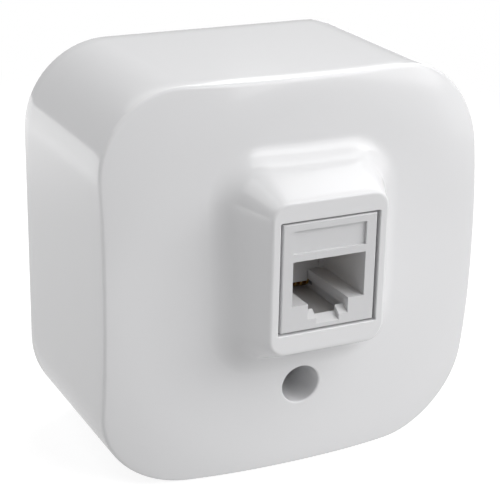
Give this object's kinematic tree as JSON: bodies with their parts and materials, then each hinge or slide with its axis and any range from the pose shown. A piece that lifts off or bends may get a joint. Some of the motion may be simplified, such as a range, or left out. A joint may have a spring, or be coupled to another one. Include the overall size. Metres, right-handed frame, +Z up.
{
  "type": "surface-mounted data outlet",
  "caption": "Surface-mounted wall outlet with one modular data jack in a raised frame, a deep rounded cover held by a sunk screw, and a wall plate.",
  "frame": {"origin": "centre of the face that lies on the wall", "axes": "+X to the right as seen from the front, +Y into the wall, +Z up"},
  "size_m": [0.0624, 0.0432, 0.0624],
  "materials": {
    "cover_plastic": "glossy white moulded plastic",
    "base_plastic": "white moulded plastic",
    "screw_steel": "zinc-plated steel",
    "insert_brass": "turned brass",
    "washer_nylon": "natural nylon",
    "bracket_plastic": "light grey moulded plastic",
    "jack_plastic": "satin white moulded plastic",
    "carrier_plastic": "light grey moulded plastic",
    "contact_gold": "gold-plated spring wire",
    "board_laminate": "brown laminate",
    "terminal_plastic": "grey moulded plastic",
    "blade_tin": "tin-plated bronze",
    "cap_plastic": "blue-grey moulded plastic",
    "clamp_plastic": "light grey moulded plastic"
  },
  "bodies": {
    "base": {"base_plate": "base_plastic", "screw_insert": "insert_brass", "jack_bracket": "bracket_plastic", "bracket_screws": "screw_steel", "jack_housing": "jack_plastic", "contact_carrier": "carrier_plastic", "contact_comb": "carrier_plastic", "contact_roots": "contact_gold", "circuit_board": "board_laminate", "terminal_block_upper": "terminal_plastic", "terminal_block_lower": "terminal_plastic", "idc_blades_upper": "blade_tin", "idc_blades_lower": "blade_tin", "cable_clamp": "clamp_plastic", "clamp_screws": "screw_steel"},
    "cover": {"cover": "cover_plastic"},
    "cover_screw": {"cover_screw": "screw_steel", "retaining_washer": "washer_nylon"},
    "upper_cap": {"wiring_cap_upper": "cap_plastic"},
    "lower_cap": {"wiring_cap_lower": "cap_plastic"},
    "contact_1_arm": {"contact_1": "contact_gold"},
    "contact_2_arm": {"contact_2": "contact_gold"},
    "contact_3_arm": {"contact_3": "contact_gold"},
    "contact_4_arm": {"contact_4": "contact_gold"},
    "contact_5_arm": {"contact_5": "contact_gold"},
    "contact_6_arm": {"contact_6": "contact_gold"},
    "contact_7_arm": {"contact_7": "contact_gold"},
    "contact_8_arm": {"contact_8": "contact_gold"}
  },
  "joints": [
    {"name": "cover_pull", "type": "slide", "parent": "base", "child": "cover", "axis": [0, -1, 0], "range_m": [0, 0.045]},
    {"name": "cover_screw_turn", "type": "hinge", "parent": "cover", "child": "cover_screw", "pos_m": [0, -0.0283, -0.0166], "axis": [0, -1, 0], "continuous": true},
    {"name": "upper_cap_pull", "type": "slide", "parent": "base", "child": "upper_cap", "axis": [0, 1, 0], "range_m": [0, 0.008]},
    {"name": "lower_cap_pull", "type": "slide", "parent": "base", "child": "lower_cap", "axis": [0, 1, 0], "range_m": [0, 0.008]},
    {"name": "contact_1_flex", "type": "hinge", "parent": "base", "child": "contact_1_arm", "pos_m": [-0.00356, -0.0402, 0.00715], "axis": [1, 0, 0], "range_deg": [0, 10], "stiffness_Nm_per_rad": 0.03},
    {"name": "contact_2_flex", "type": "hinge", "parent": "base", "child": "contact_2_arm", "pos_m": [-0.00254, -0.0402, 0.00715], "axis": [1, 0, 0], "range_deg": [0, 10], "stiffness_Nm_per_rad": 0.03},
    {"name": "contact_3_flex", "type": "hinge", "parent": "base", "child": "contact_3_arm", "pos_m": [-0.00152, -0.0402, 0.00715], "axis": [1, 0, 0], "range_deg": [0, 10], "stiffness_Nm_per_rad": 0.03},
    {"name": "contact_4_flex", "type": "hinge", "parent": "base", "child": "contact_4_arm", "pos_m": [-0.00051, -0.0402, 0.00715], "axis": [1, 0, 0], "range_deg": [0, 10], "stiffness_Nm_per_rad": 0.03},
    {"name": "contact_5_flex", "type": "hinge", "parent": "base", "child": "contact_5_arm", "pos_m": [0.00051, -0.0402, 0.00715], "axis": [1, 0, 0], "range_deg": [0, 10], "stiffness_Nm_per_rad": 0.03},
    {"name": "contact_6_flex", "type": "hinge", "parent": "base", "child": "contact_6_arm", "pos_m": [0.00152, -0.0402, 0.00715], "axis": [1, 0, 0], "range_deg": [0, 10], "stiffness_Nm_per_rad": 0.03},
    {"name": "contact_7_flex", "type": "hinge", "parent": "base", "child": "contact_7_arm", "pos_m": [0.00254, -0.0402, 0.00715], "axis": [1, 0, 0], "range_deg": [0, 10], "stiffness_Nm_per_rad": 0.03},
    {"name": "contact_8_flex", "type": "hinge", "parent": "base", "child": "contact_8_arm", "pos_m": [0.00356, -0.0402, 0.00715], "axis": [1, 0, 0], "range_deg": [0, 10], "stiffness_Nm_per_rad": 0.03}
  ]
}
